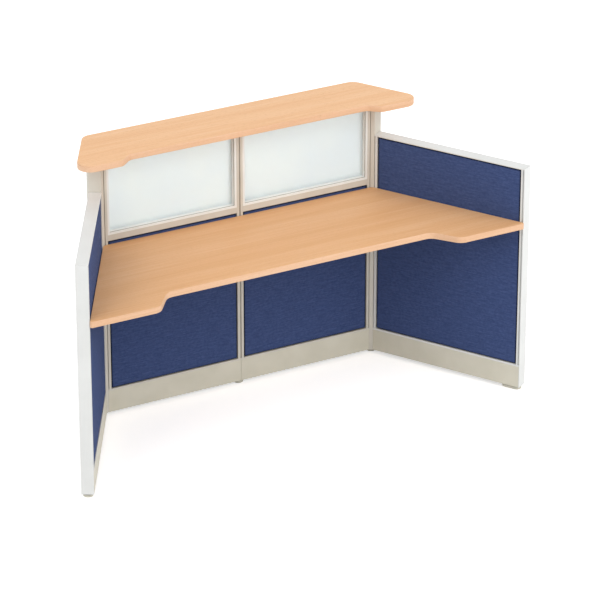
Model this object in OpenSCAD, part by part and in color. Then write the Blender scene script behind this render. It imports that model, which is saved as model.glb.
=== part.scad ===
// Reception desk with a raised transaction counter.
// A straight wall of two framed bays stands between two splayed side panels.
// The plan is laid out about the wall's centre line, and side pieces are drawn
// once for the right hand and mirrored for the left.

/* [Overall] */
// Which piece to show
// Height of the worktop surface above the floor
worktop_height = 750; // [700:1:800]
// Height of the side panels above the floor
side_height = 980; // [860:1:1060]
// Rise of the counter surface above the side panels
counter_rise = 175; // [120:1:260]
// Width of one bay of the wall
bay_width = 600; // [450:1:900]
// Length of a side panel from the corner's centre to its free end
side_reach = 712; // [650:1:1000]
// Angle by which each side panel turns away from the wall's line
splay = 60; // [52:1:70]
// Thickness of every panel
panel_t = 50; // [40:1:60]
// Distance from the corner's centre to the end of each panel
corner_setback = 23.5; // [22:0.5:30]

/* [Frames] */
// Width of an upright as seen from the front
upright_w = 13.5; // [12:0.5:20]
// Height of the lip of the base rail that shows above the kick plate
base_lip = 8; // [5:0.5:14]
// Height of the top rail's lip
top_lip = 6; // [4:0.5:12]
// Height of the middle rail of the wall
middle_rail_h = 24.5; // [18:0.5:36]
// Gap from the worktop surface up to the wall's middle rail
middle_rail_gap = 13.5; // [8:0.5:60]
// Wall thickness of the extrusions
section_t = 2; // [1.5:0.1:3]
// Width of the rebate along the joint side of an upright
rebate_w = 3; // [1:0.5:4]
// Depth of the rebate along the joint side of an upright
rebate_depth = 6; // [3:0.5:10]
// Width of the wider rebate of the front upright, the shadow groove beside the end cover
cover_rebate_w = 6; // [2:0.5:7]
// How far the inner rib reaches behind the tiles
rib_reach = 7; // [5:0.5:9]
// Width of the inner rib that the tiles rest on
rib_w = 20; // [16:0.5:22]
// Width of the slot for the joining strip
slot_w = 10.2; // [8:0.1:12]
// Depth of the slot for the joining strip
slot_depth = 5.2; // [4:0.1:6]
// Bevel on the top rail's long edges
top_bevel = 2; // [1:0.5:3]
// Height of the hidden cross rail in a side panel
cross_rail_h = 60; // [40:1:80]
// Top of the hidden cross rail below the underside of the worktop
cross_rail_drop = 10; // [5:1:30]
// Thickness of the flat cover on a side panel's free end
end_cover_t = 3; // [2:0.5:5]
// Bevel on the end cover's long edges
cover_bevel = 1; // [0.5:0.5:1.5]

/* [Tiles and glass] */
// Thickness of a fabric tile
tile_t = 13; // [9:0.5:15]
// Bevel round the face of a tile
tile_bevel = 1.5; // [0.5:0.5:3]
// Gap between a tile and the frame round it
tile_gap = 3; // [1:0.5:4]
// Thickness of a glass pane
pane_t = 6; // [4:0.5:8]
// Gap between the edge of a pane and the rib round it
pane_gap = 0.5; // [0.2:0.1:2]
// Setback of the glazing bead's face from the frame's face
bead_setback = 1; // [0.5:0.5:10]
// Width of the glazing bead
bead_w = 11.5; // [11:0.5:18]

/* [Worktop] */
// Thickness of the worktop
worktop_t = 25; // [18:0.5:30]
// How far the end wings reach forward past the side panels
wing_overhang = 10; // [0:1:60]
// Front edge of the recessed middle from the wall's centre line
recess_depth = 536; // [480:1:580]
// Half width of the recess at its back corners
recess_half = 585; // [500:1:620]
// Half width of the recess where it meets the wings' front edge
wing_half = 663; // [640:1:760]
// Radius that rounds both bends of the recess
recess_r = 50; // [20:1:70]
// Radius of the worktop's front corners
worktop_corner_r = 8; // [5:1:40]
// Gap between the worktop and the panels
worktop_gap = 1; // [0.5:0.5:4]
// Thickness of the edging on the worktop and the counter
edging_t = 2; // [1:0.5:3]

/* [Counter] */
// Thickness of the counter board
counter_t = 25; // [18:0.5:36]
// Far edge of the counter beyond the wall's centre line
counter_far = 139; // [100:1:200]
// Near edge of the counter's ends from the wall's centre line
counter_near = 159; // [120:0.5:240]
// Near edge of the counter's recessed middle from the wall's centre line
counter_mid = 116; // [100:0.5:160]
// Half width of the counter along its far edge
counter_half = 609.5; // [500:0.5:700]
// Half width of the counter's recess at its back corners
counter_recess_half = 527; // [450:1:560]
// Half width of the recess where it meets the near edge
counter_wing_half = 576; // [562:1:640]
// Radius that rounds both bends of the counter's recess
counter_recess_r = 36; // [10:1:45]
// Radius of the counter's outer corners
counter_corner_r = 52; // [20:1:60]

/* [Kick plates] */
// Top of the base rail's lip above the floor
base_top = 116; // [100:1:140]
// Bottom edge of the kick plates above the floor
kick_clear = 15; // [12:1:30]
// Thickness of the kick plates
kick_t = 2.5; // [1.5:0.5:3]
// Gap at each end of a kick plate
kick_end_gap = 0.5; // [0.2:0.1:2]
// Thickness of the returned edges of a kick plate
kick_return_t = 2; // [1:0.5:3]
// Depth of the lower returned edge
kick_foot = 2; // [1:0.5:3]
// Drop of the upper returned edge below the plate's top
kick_hook_drop = 3; // [2:0.5:6]
// Width of the box under the base rail
base_box_w = 26; // [20:1:30]
// Height of the box under the base rail
base_box_h = 46; // [30:1:60]

/* [Feet] */
// Diameter of a foot's disc
foot_d = 38; // [30:1:42]
// Height of a foot's disc
foot_h = 12; // [8:0.5:12]
// Diameter of a foot's stud
stud_d = 8; // [6:0.5:10]
// Height of the stud's tip above the floor
stud_top = 100; // [80:1:106]
// Height of the disc's shoulder bevel
foot_bevel = 2; // [1:0.5:3]
// Radial clearance round the stud
stud_clear = 0.05; // [0.02:0.01:0.1]
// Half length of the solid block that carries a stud in a rail
boss_half = 16; // [12:1:24]
// Bottom of the corner posts above the floor
post_clear = 16; // [16:0.5:20]
// Height of the solid plug at the foot of a post
post_plug_h = 48; // [30:1:60]
// Thickness of the closed top of a post
post_cap_t = 3; // [2:0.5:5]
// Distance of the end foot from the side panel's free end
end_foot_inset = 45; // [40:1:120]
// Length of the oblong glide of an end foot, which reaches to the panel's end
glide_len = 84; // [50:1:84]
// Width of that glide
glide_w = 39.5; // [39:0.5:40]

/* [Joining strips] */
// Height of each joining strip
strip_len = 760; // [500:1:800]
// Bottom of each joining strip above the floor
strip_bottom = 160; // [130:1:200]
// Clearance on each side of a joining strip
strip_clear = 0.1; // [0.05:0.05:0.3]

/* [Brackets and screws] */
// Length of a worktop bracket's arm
arm_len = 240; // [180:1:260]
// Width of a worktop bracket's arm
arm_w = 40; // [34:1:60]
// Height of a worktop bracket's back plate
arm_back_h = 90; // [70:1:120]
// Width of a worktop bracket's back plate
arm_back_w = 26; // [24:1:30]
// Thickness of the bracket's plates
arm_t = 3; // [2:0.5:5]
// Setback of the bracket's web from the tip of its arm
web_setback = 20; // [10:1:40]
// Distance of the side bracket from the corner's centre
side_arm_at = 430; // [380:1:480]
// Thickness of a counter bracket's plate
plate_t = 6; // [5:0.5:8]
// Width of a counter bracket's plate
plate_w = 50; // [40:1:70]
// Length of a counter bracket's plate
plate_len = 200; // [150:1:210]
// Distance of each counter bracket from the desk's middle
plate_at = 350; // [200:1:450]
// Bevel on the corners of a counter bracket's plate
plate_bevel = 8; // [4:1:12]
// Diameter of a screw's shank
screw_d = 4; // [3:0.5:5]
// Length of a screw below its head
screw_len = 17; // [17:0.5:20]
// How far the rail screws reach below the lip of the wall's top rail
rail_screw_reach = 2.5; // [1:0.5:2.5]
// Diameter of a screw's head
head_d = 8; // [7:0.5:9]
// Height of a screw's head
head_h = 2.5; // [2:0.1:3]
// Radial clearance round a screw
screw_clear = 0.05; // [0.02:0.01:0.2]
// Depth of the counterbore for a sunk screw
sink_depth = 3; // [2.6:0.1:3.4]
// Sideways place of the two screws through a bracket's back plate
back_screw_x = 7.5; // [6:0.5:9]
// Sideways place of the two screws through a bracket's arm
arm_screw_x = 12; // [8:0.5:14]
// Distance of the arm's screws from the panel's face
arm_screw_y = 200; // [120:1:210]
// Distance of the back plate's screws below the worktop
back_screw_drop = 35; // [25:1:50]
// Sideways place of the screws through a counter bracket
plate_screw_x = 15; // [10:1:20]
// Distance of the outer screws of a counter bracket from the wall's line
plate_screw_y = 80; // [60:1:88]

/* [Hidden] */

laminate_col = [0.91, 0.74, 0.56];
edging_col = [0.86, 0.66, 0.46];
frame_col = [0.86, 0.85, 0.81];
fabric_col = [0.24, 0.28, 0.42];
kick_col = [0.75, 0.73, 0.67];
glass_col = [0.90, 0.93, 0.93];
steel_col = [0.62, 0.62, 0.62];
foot_col = [0.62, 0.61, 0.58];
strip_col = [0.45, 0.45, 0.46];

// Overrun of every cut past the face that it opens
over = 0.5;
// Facets of round edges and of round holes
edge_fn = 12;
hole_fn = 20;
foot_fn = 36;

half_t = panel_t / 2;
corner_x = bay_width + corner_setback;
side_len = side_reach - corner_setback - end_cover_t;
counter_height = side_height + counter_rise;
wall_height = counter_height - counter_t - plate_t;
middle_z = worktop_height + middle_rail_gap;
bead_z = middle_z + middle_rail_h;
wall_top_z = wall_height - top_lip;
side_top_z = side_height - top_lip;
rib_end = upright_w + rib_reach;
tile_back = rib_w / 2;
tile_face = tile_back + tile_t;
cross_z = worktop_height - worktop_t - cross_rail_drop - cross_rail_h;
kick_top = base_top - base_lip;
bead_face = half_t - bead_setback;
arm_z = worktop_height - worktop_t;
screw_r = screw_d / 2;
bore_r = screw_r + screw_clear;
rail_screw_len = top_lip + plate_t - sink_depth + rail_screw_reach;
foot_r = foot_d / 2;
stud_r = stud_d / 2;
foot_bore_r = stud_r + stud_clear;
end_foot_x = side_reach - end_foot_inset;

// The plan is shifted so that the origin lies under the middle of the whole desk
side_front = side_reach * sin(splay) + half_t * cos(splay);
wing_depth = side_front + wing_overhang;
plan_shift = (wing_depth - counter_far) / 2;

// Plan helpers

function unit(v) = v / norm(v);

// Point where the line through a along u meets the line through b along v
function meet(a, u, b, v) = a + u * (cross(b - a, v) / cross(u, v));

// One corner of an outline replaced by an arc of radius r that touches both edges
function corner_arc(a, b, c, r) =
    let (u = unit(a - b), v = unit(c - b),
         half = acos(u * v) / 2,
         mid = b + unit(u + v) * (r / sin(half)),
         p = b + u * (r / tan(half)),
         q = b + v * (r / tan(half)),
         t0 = atan2(p.y - mid.y, p.x - mid.x),
         t1 = atan2(q.y - mid.y, q.x - mid.x),
         sweep = (t1 - t0 + 540) % 360 - 180,
         n = edge_fn)
    [for (i = [0:n]) mid + r * [cos(t0 + sweep * i / n), sin(t0 + sweep * i / n)]];

function rounded(pts, radii) =
    let (n = len(pts))
    [for (i = [0:n - 1])
        let (a = pts[(i + n - 1) % n], b = pts[i], c = pts[(i + 1) % n])
        each (radii[i] > 0 ? corner_arc(a, b, c, radii[i]) : [b])];

function mirrored(pts) = [for (i = [len(pts) - 1:-1:0]) [-pts[i].x, pts[i].y]];
function backwards(list) = [for (i = [len(list) - 1:-1:0]) list[i]];

// Directions of the right side panel and of the corner's bisector
side_dir = [cos(splay), -sin(splay)];
side_out = [sin(splay), cos(splay)];
corner = [corner_x, 0];
bisector_out = [sin(splay / 2), cos(splay / 2)];
bisector_side = [cos(splay / 2), -sin(splay / 2)];

// Corners of the post, seen from above, in order round it
post_pts = [
    corner + [-corner_setback, -half_t],
    corner + [-corner_setback, half_t],
    corner + bisector_out * corner_setback - bisector_side * half_t,
    corner + bisector_out * corner_setback + bisector_side * half_t,
    corner + side_dir * corner_setback + side_out * half_t,
    corner + side_dir * corner_setback - side_out * half_t];

// Outline of the worktop: right half, from the back corner to the recess
worktop_inset = half_t + worktop_gap;
worktop_chord = post_pts[0] - bisector_out * worktop_gap;
worktop_side = corner - side_out * worktop_inset;
worktop_right = [
    meet([0, -worktop_inset], [1, 0], worktop_chord, bisector_side),
    meet(worktop_chord, bisector_side, worktop_side, side_dir),
    meet(worktop_side, side_dir, [0, -wing_depth], [1, 0]),
    [wing_half, -wing_depth],
    [recess_half, -recess_depth]];
worktop_right_r = [0, 0, worktop_corner_r, recess_r, recess_r];
worktop_pts = rounded(concat(worktop_right, mirrored(worktop_right)),
                      concat(worktop_right_r, backwards(worktop_right_r)));

// Outline of the counter: right half, from the far corner to the recess
counter_right = [
    [counter_half, counter_far],
    meet([counter_half, counter_far], side_dir, [0, -counter_near], [1, 0]),
    [counter_wing_half, -counter_near],
    [counter_recess_half, -counter_mid]];
counter_right_r = [counter_corner_r, counter_corner_r, counter_recess_r, counter_recess_r];
counter_pts = rounded(concat(counter_right, mirrored(counter_right)),
                      concat(counter_right_r, backwards(counter_right_r)));

// Places of the brackets: origin on the plan, turn, and setback of the face
bracket_places = [
    [[0, 0], 0, half_t],
    [[-corner_x - side_dir.x * side_arm_at, side_dir.y * side_arm_at], splay, tile_face],
    [[corner_x + side_dir.x * side_arm_at, side_dir.y * side_arm_at], -splay, tile_face]];

// Placing helpers

module in_plan() { translate([0, plan_shift, 0]) children(); }
module on_right_side() { in_plan() translate([corner_x, 0, 0]) rotate([0, 0, -splay]) children(); }
module on_left_side() { mirror([1, 0, 0]) on_right_side() children(); }
module on_right_bay() { in_plan() children(); }
module on_left_bay() { mirror([1, 0, 0]) on_right_bay() children(); }
// Draws a profile of depth and height along the panel's length
module along(from, length) {
    translate([from, 0, 0]) rotate([90, 0, 90]) linear_extrude(length) children();
}
module block(x, y, z) {
    translate([x[0], y[0], z[0]]) cube([x[1] - x[0], y[1] - y[0], z[1] - z[0]]);
}

// Boards

module board_shape(pts) { offset(delta = -edging_t) polygon(pts); }
module edging_shape(pts) {
    difference() { polygon(pts); board_shape(pts); }
}
module worktop() {
    color(laminate_col) in_plan() difference() {
        translate([0, 0, arm_z]) linear_extrude(worktop_t) board_shape(worktop_pts);
        arm_bores();
    }
}
module worktop_edging() {
    color(edging_col) in_plan() translate([0, 0, arm_z]) linear_extrude(worktop_t)
        edging_shape(worktop_pts);
}
module counter() {
    color(laminate_col) in_plan() difference() {
        translate([0, 0, counter_height - counter_t]) linear_extrude(counter_t)
            board_shape(counter_pts);
        plate_bores(screw_len - plate_t + over);
    }
}
module counter_edging() {
    color(edging_col) in_plan() translate([0, 0, counter_height - counter_t])
        linear_extrude(counter_t) edging_shape(counter_pts);
}

// Frames

// Hollow upright seen from above: its joint side at x = 0, its rib towards +x
module upright_shape(rebate) {
    rebate_y = half_t - rebate_depth;
    pocket_w = upright_w - rebate - section_t * 2;
    difference() {
        polygon([
            [rebate, -half_t], [upright_w, -half_t], [upright_w, -tile_back],
            [rib_end, -tile_back], [rib_end, tile_back], [upright_w, tile_back],
            [upright_w, half_t], [rebate, half_t], [rebate, rebate_y], [0, rebate_y],
            [0, slot_w / 2], [slot_depth, slot_w / 2], [slot_depth, -slot_w / 2],
            [0, -slot_w / 2], [0, -rebate_y], [rebate, -rebate_y]]);
        if (pocket_w > 0) for (s = [-1, 1]) scale([1, s])
            translate([rebate + section_t, tile_back])
                square([pocket_w, half_t - section_t - tile_back]);
        translate([slot_depth + section_t, section_t - tile_back])
            square([rib_end - slot_depth - section_t * 2, rib_w - section_t * 2]);
    }
}
module upright(top, rebate = rebate_w) {
    translate([0, 0, base_top]) linear_extrude(top - base_top) upright_shape(rebate);
}
module bay_upright_inner() {
    difference() {
        upright(wall_top_z);
        back_bore([back_screw_x, 0], half_t);
    }
}
module bay_upright_outer() {
    translate([bay_width, 0, 0]) mirror([1, 0, 0]) upright(wall_top_z);
}
module side_upright_back() { translate([corner_setback, 0, 0]) upright(side_top_z); }
module side_upright_front() {
    translate([corner_setback + side_len, 0, 0]) mirror([1, 0, 0])
        upright(side_top_z, cover_rebate_w);
}

// Base rail: a lip with a hollow box below it, a rib in each bay and solid foot blocks
module base_rail(from, length, ribs, feet) {
    difference() {
        union() {
            along(from, length) polygon([
                [-half_t, base_top - base_lip], [-base_box_w / 2, base_top - base_lip],
                [-base_box_w / 2, kick_top - base_box_h], [base_box_w / 2, kick_top - base_box_h],
                [base_box_w / 2, base_top - base_lip], [half_t, base_top - base_lip],
                [half_t, base_top], [-half_t, base_top]]);
            for (r = ribs)
                block([r[0], r[1]], [-tile_back, tile_back], [base_top - section_t, base_top + rib_reach]);
        }
        difference() {
            block([from - over, from + length + over],
                  [section_t - base_box_w / 2, base_box_w / 2 - section_t],
                  [kick_top - base_box_h + section_t, kick_top - section_t]);
            for (x = feet)
                block([x - boss_half, x + boss_half], [-base_box_w, base_box_w], [0, base_top]);
        }
        for (x = feet)
            translate([x, 0, 0]) cylinder(r = foot_bore_r, h = kick_top - section_t, $fn = foot_fn);
    }
}
// Top rail: a bevelled lip over the uprights and a hollow rib between them
module top_rail(from, length, z, ribs) {
    difference() {
        union() {
            along(from, length) polygon([
                [-half_t, z], [half_t, z], [half_t, z + top_lip - top_bevel],
                [half_t - top_bevel, z + top_lip], [top_bevel - half_t, z + top_lip],
                [-half_t, z + top_lip - top_bevel]]);
            for (r = ribs)
                block([r[0], r[1]], [-tile_back, tile_back], [z - rib_reach, z + section_t]);
        }
        for (r = ribs)
            block([r[0] - over, r[1] + over], [section_t - tile_back, tile_back - section_t],
                  [z - rib_reach + section_t, z]);
    }
}
bay_rib = [rib_end, bay_width - rib_end];
side_rib = [corner_setback + rib_end, corner_setback + side_len - rib_end];

module wall_base_rail() {
    color(frame_col) in_plan() base_rail(-bay_width, bay_width * 2,
        [bay_rib, [-bay_rib[1], -bay_rib[0]]], [0]);
}
module wall_top_rail() {
    color(frame_col) in_plan() difference() {
        top_rail(-bay_width, bay_width * 2, wall_top_z, [bay_rib, [-bay_rib[1], -bay_rib[0]]]);
        for (s = [-1, 1]) for (x = [-plate_screw_x, plate_screw_x])
            translate([s * plate_at + x, 0, wall_top_z - over])
                cylinder(r = bore_r, h = top_lip + over * 2, $fn = hole_fn);
    }
}
// Middle rail: a hollow box notched over the uprights' ribs, with a rib above and below
module middle_rail() {
    box_z = [middle_z, bead_z];
    rib_z = [middle_z - rib_reach, bead_z + rib_reach];
    difference() {
        union() {
            block([upright_w, bay_width - upright_w], [-half_t, half_t], box_z);
            block(bay_rib, [-tile_back, tile_back], rib_z);
        }
        block([0, bay_width], [section_t - half_t, half_t - section_t],
              [box_z[0] + section_t, box_z[1] - section_t]);
        block([0, bay_width], [section_t - tile_back, tile_back - section_t],
              [rib_z[0] + section_t, rib_z[1] - section_t]);
        for (x = [[0, rib_end], [bay_width - rib_end, bay_width]])
            block(x, [-tile_back, tile_back], [rib_z[0], rib_z[1]]);
    }
}
module cross_rail() {
    difference() {
        block(side_rib, [-tile_back, tile_back], [cross_z, cross_z + cross_rail_h]);
        block([0, side_reach], [section_t - tile_back, tile_back - section_t],
              [cross_z + section_t, cross_z + cross_rail_h - section_t]);
        translate([side_arm_at, 0, 0]) back_bores(tile_face);
    }
}
module side_base_rail() {
    base_rail(corner_setback, side_len, [side_rib], [end_foot_x]);
}
module side_top_rail() { top_rail(corner_setback, side_len, side_top_z, [side_rib]); }

// Tiles and glass

// Tile with bevelled face edges, between x, z, with its back on the rib; side -1 is inside
module tile(x, z, side) {
    y0 = tile_back;
    y1 = tile_face;
    b = tile_bevel;
    scale([1, side, 1]) intersection() {
        translate([0, 0, z[0]]) linear_extrude(z[1] - z[0])
            polygon([[x[0], y0], [x[1], y0], [x[1], y1 - b], [x[1] - b, y1],
                     [x[0] + b, y1], [x[0], y1 - b]]);
        along(x[0], x[1] - x[0])
            polygon([[y0, z[0]], [y1 - b, z[0]], [y1, z[0] + b], [y1, z[1] - b],
                     [y1 - b, z[1]], [y0, z[1]]]);
    }
}
module wall_tile(side) {
    tile([upright_w + tile_gap, bay_width - upright_w - tile_gap],
         [base_top + tile_gap, middle_z - tile_gap], side);
}
module side_tile(side) {
    difference() {
        tile([corner_setback + upright_w + tile_gap, corner_setback + side_len - upright_w - tile_gap],
             [base_top + tile_gap, side_top_z - tile_gap], side);
        if (side < 0) translate([side_arm_at, 0, 0]) back_bores(tile_face);
    }
}
module glass_pane() {
    edge = rib_end + pane_gap;
    block([edge, bay_width - edge], [-pane_t / 2, pane_t / 2],
          [bead_z + rib_reach + pane_gap, wall_top_z - rib_reach - pane_gap]);
}
// Glazing bead: a ring on one side of the pane, whose lip reaches past the rib to the glass
module glazing_bead(side) {
    rib_z = [bead_z + rib_reach, wall_top_z - rib_reach];
    scale([1, side, 1]) difference() {
        union() {
            block([upright_w, bay_width - upright_w], [tile_back, bead_face], [bead_z, wall_top_z]);
            block(bay_rib, [pane_t / 2, bead_face], rib_z);
        }
        block([upright_w + bead_w, bay_width - upright_w - bead_w], [0, half_t],
              [bead_z + bead_w, wall_top_z - bead_w]);
    }
}

// Corner posts, joining strips and end covers

// Slots of the post that face the wall and the side panel
module wall_slot() {
    translate([corner_x - corner_setback - over, -slot_w / 2]) square([slot_depth + over, slot_w]);
}
module side_slot() {
    translate(corner) rotate(-splay)
        translate([corner_setback - slot_depth, -slot_w / 2]) square([slot_depth + over, slot_w]);
}
module post_solid() {
    difference() { polygon(post_pts); wall_slot(); side_slot(); }
}
// The slot to the side panel ends with that panel, and the post is plain above it
module corner_post() {
    difference() {
        translate([0, 0, post_clear]) linear_extrude(wall_height - post_clear) polygon(post_pts);
        linear_extrude(wall_height + over) wall_slot();
        linear_extrude(side_height) side_slot();
        translate([0, 0, post_clear + post_plug_h])
            linear_extrude(wall_height - post_clear - post_plug_h - post_cap_t)
                offset(delta = -section_t) post_solid();
        translate([corner_x, 0, 0])
            cylinder(r = foot_bore_r, h = post_clear + post_plug_h + over, $fn = foot_fn);
    }
}
// One strip centred on a joint face, with its clearance all round
module strip() {
    w = slot_w - strip_clear * 2;
    d = slot_depth * 2 - strip_clear * 2;
    translate([0, 0, strip_bottom]) linear_extrude(strip_len) square([d, w], center = true);
}
module half_strips() {
    translate([bay_width, 0, 0]) strip();
    translate([corner_x, 0, 0]) rotate([0, 0, -splay]) translate([corner_setback, 0, 0]) strip();
}
module joining_strips() {
    color(strip_col) in_plan() {
        strip();
        half_strips();
        mirror([1, 0, 0]) half_strips();
    }
}
module end_cover() {
    b = cover_bevel;
    from = corner_setback + side_len;
    tongue = slot_w / 2 - strip_clear;
    translate([from, 0, kick_clear]) linear_extrude(side_height - kick_clear)
        polygon([[0, -half_t], [end_cover_t - b, -half_t], [end_cover_t, b - half_t],
                 [end_cover_t, half_t - b], [end_cover_t - b, half_t], [0, half_t]]);
    translate([from, 0, base_top]) linear_extrude(side_top_z - base_top)
        translate([strip_clear - slot_depth, -tongue])
            square([slot_depth - strip_clear + end_cover_t / 2, tongue * 2]);
}

// Kick plates

module kick_plate(from, length, side) {
    y0 = half_t - kick_t;
    box = base_box_w / 2;
    hook = kick_top - kick_hook_drop;
    scale([1, side, 1]) along(from + kick_end_gap, length - kick_end_gap * 2) polygon([
        [half_t, kick_clear], [half_t, kick_top], [y0, kick_top], [y0, hook], [box, hook],
        [box, hook - kick_return_t], [y0, hook - kick_return_t], [y0, kick_clear + kick_return_t],
        [y0 - kick_foot, kick_clear + kick_return_t], [y0 - kick_foot, kick_clear]]);
}

module side_kick_plate(side) { kick_plate(corner_setback, side_len, side); }

// Feet

module foot() {
    b = foot_bevel;
    rotate_extrude($fn = foot_fn) polygon([
        [0, 0], [foot_r - b / 2, 0], [foot_r, b / 2], [foot_r, foot_h - b], [foot_r - b, foot_h],
        [stud_r, foot_h], [stud_r, stud_top - b], [stud_r - b / 2, stud_top], [0, stud_top]]);
}

// An end foot stands on an oblong glide instead of a round one
module end_foot() {
    foot();
    r = glide_w / 2;
    along_half = glide_len / 2 - r;
    linear_extrude(foot_h) polygon([
        for (s = [1, -1], i = [0:edge_fn])
            let (a = 180 * i / edge_fn - 90 * s)
            [s * along_half + r * cos(a), r * sin(a)]]);
}

// Brackets and screws

// Screw with its head's underside at the origin and its shank along +z
module screw(length) {
    cylinder(r = screw_r, h = length, $fn = hole_fn);
    translate([0, 0, -head_h]) cylinder(r = head_d / 2, h = head_h, $fn = hole_fn);
}
// Bore for one screw through a panel face at depth d, seen from the user's side
module back_bore(at, d) {
    translate([at[0], -d - over, arm_z - back_screw_drop])
        rotate([-90, 0, 0]) cylinder(r = bore_r, h = screw_len - arm_t + over * 2, $fn = hole_fn);
}
module back_bores(d) {
    for (x = [-back_screw_x, back_screw_x]) back_bore([x, 0], d);
}
module at_bracket(i) {
    b = bracket_places[i];
    translate(b[0]) rotate(b[1]) translate([0, -b[2], 0]) children();
}
module arm_bores() {
    for (i = [0:len(bracket_places) - 1]) at_bracket(i)
        for (x = [-arm_screw_x, arm_screw_x])
            translate([x, -arm_screw_y, arm_z - arm_t - over])
                cylinder(r = bore_r, h = screw_len + over * 2, $fn = hole_fn);
}
// Bracket with its back plate on the panel's face at y = 0 and its arm towards -y
module worktop_bracket() {
    difference() {
        union() {
            block([-arm_w / 2, arm_w / 2], [-arm_len, 0], [arm_z - arm_t, arm_z]);
            block([-arm_back_w / 2, arm_back_w / 2], [-arm_t, 0], [arm_z - arm_back_h, arm_z]);
            translate([-arm_t / 2, 0, 0]) rotate([90, 0, 90]) linear_extrude(arm_t)
                polygon([[0, arm_z - arm_back_h], [0, arm_z], [web_setback - arm_len, arm_z],
                         [web_setback - arm_len, arm_z - arm_t * 2],
                         [-arm_t * 2, arm_z - arm_back_h]]);
        }
        for (x = [-arm_screw_x, arm_screw_x])
            translate([x, -arm_screw_y, arm_z - arm_t - over])
                cylinder(r = bore_r, h = arm_t + over * 2, $fn = hole_fn);
        for (x = [-back_screw_x, back_screw_x])
            translate([x, over, arm_z - back_screw_drop])
                rotate([90, 0, 0]) cylinder(r = bore_r, h = arm_t + over * 2, $fn = hole_fn);
    }
}
module plate_bores(depth) {
    for (s = [-1, 1]) for (y = [-plate_screw_y, plate_screw_y])
        translate([s * plate_at, y, wall_height - over])
            cylinder(r = bore_r, h = plate_t + depth + over, $fn = hole_fn);
}
module counter_bracket() {
    w = plate_w / 2;
    l = plate_len / 2;
    b = plate_bevel;
    difference() {
        translate([plate_at, 0, wall_height]) linear_extrude(plate_t) polygon([
            [b - w, -l], [w - b, -l], [w, b - l], [w, l - b],
            [w - b, l], [b - w, l], [-w, l - b], [-w, b - l]]);
        plate_bores(over);
        for (x = [-plate_screw_x, plate_screw_x]) translate([plate_at + x, 0, wall_height]) {
            translate([0, 0, -over]) cylinder(r = bore_r, h = plate_t + over * 2, $fn = hole_fn);
            translate([0, 0, plate_t - sink_depth])
                cylinder(r = head_d / 2 + screw_clear, h = sink_depth + over, $fn = hole_fn);
        }
    }
}
module bracket_screws() {
    color(steel_col) in_plan() {
        for (i = [0:len(bracket_places) - 1]) at_bracket(i) {
            for (x = [-arm_screw_x, arm_screw_x])
                translate([x, -arm_screw_y, arm_z - arm_t]) screw(screw_len);
            for (x = [-back_screw_x, back_screw_x])
                translate([x, -arm_t, arm_z - back_screw_drop]) rotate([-90, 0, 0]) screw(screw_len);
        }
        for (s = [-1, 1]) for (y = [-plate_screw_y, plate_screw_y])
            translate([s * plate_at, y, wall_height]) screw(screw_len);
    }
}
// Shorter screws that hold the counter brackets on the wall's top rail
module rail_screws() {
    color(steel_col) in_plan()
        for (s = [-1, 1]) for (x = [-plate_screw_x, plate_screw_x])
            translate([s * plate_at + x, 0, wall_height + plate_t - sink_depth])
                rotate([180, 0, 0]) screw(rail_screw_len);
}

// Nodes

module wall_left_outer_upright() { color(frame_col) on_left_bay() bay_upright_outer(); }
module wall_left_inner_upright() { color(frame_col) on_left_bay() bay_upright_inner(); }
module wall_right_inner_upright() { color(frame_col) on_right_bay() bay_upright_inner(); }
module wall_right_outer_upright() { color(frame_col) on_right_bay() bay_upright_outer(); }
module wall_left_middle_rail() { color(frame_col) on_left_bay() middle_rail(); }
module wall_right_middle_rail() { color(frame_col) on_right_bay() middle_rail(); }
module side_left_back_upright() { color(frame_col) on_left_side() side_upright_back(); }
module side_left_front_upright() { color(frame_col) on_left_side() side_upright_front(); }
module side_right_back_upright() { color(frame_col) on_right_side() side_upright_back(); }
module side_right_front_upright() { color(frame_col) on_right_side() side_upright_front(); }
module side_left_base_rail() { color(frame_col) on_left_side() side_base_rail(); }
module side_right_base_rail() { color(frame_col) on_right_side() side_base_rail(); }
module side_left_top_rail() { color(frame_col) on_left_side() side_top_rail(); }
module side_right_top_rail() { color(frame_col) on_right_side() side_top_rail(); }
module side_left_cross_rail() { color(frame_col) on_left_side() cross_rail(); }
module side_right_cross_rail() { color(frame_col) on_right_side() cross_rail(); }
module wall_left_inside_tile() { color(fabric_col) on_left_bay() wall_tile(-1); }
module wall_right_inside_tile() { color(fabric_col) on_right_bay() wall_tile(-1); }
module wall_left_outside_tile() { color(fabric_col) on_left_bay() wall_tile(1); }
module wall_right_outside_tile() { color(fabric_col) on_right_bay() wall_tile(1); }
module side_left_inside_tile() { color(fabric_col) on_left_side() side_tile(-1); }
module side_right_inside_tile() { color(fabric_col) on_right_side() side_tile(-1); }
module side_left_outside_tile() { color(fabric_col) on_left_side() side_tile(1); }
module side_right_outside_tile() { color(fabric_col) on_right_side() side_tile(1); }
module left_glass_pane() { color(glass_col) on_left_bay() glass_pane(); }
module right_glass_pane() { color(glass_col) on_right_bay() glass_pane(); }
module left_inside_bead() { color(frame_col) on_left_bay() glazing_bead(-1); }
module right_inside_bead() { color(frame_col) on_right_bay() glazing_bead(-1); }
module left_outside_bead() { color(frame_col) on_left_bay() glazing_bead(1); }
module right_outside_bead() { color(frame_col) on_right_bay() glazing_bead(1); }
module left_corner_post() { color(frame_col) on_left_bay() corner_post(); }
module right_corner_post() { color(frame_col) on_right_bay() corner_post(); }
module left_end_cover() { color(frame_col) on_left_side() end_cover(); }
module right_end_cover() { color(frame_col) on_right_side() end_cover(); }
module wall_left_inside_kick_plate() { color(kick_col) on_left_bay() kick_plate(0, bay_width, -1); }
module wall_right_inside_kick_plate() { color(kick_col) on_right_bay() kick_plate(0, bay_width, -1); }
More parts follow.
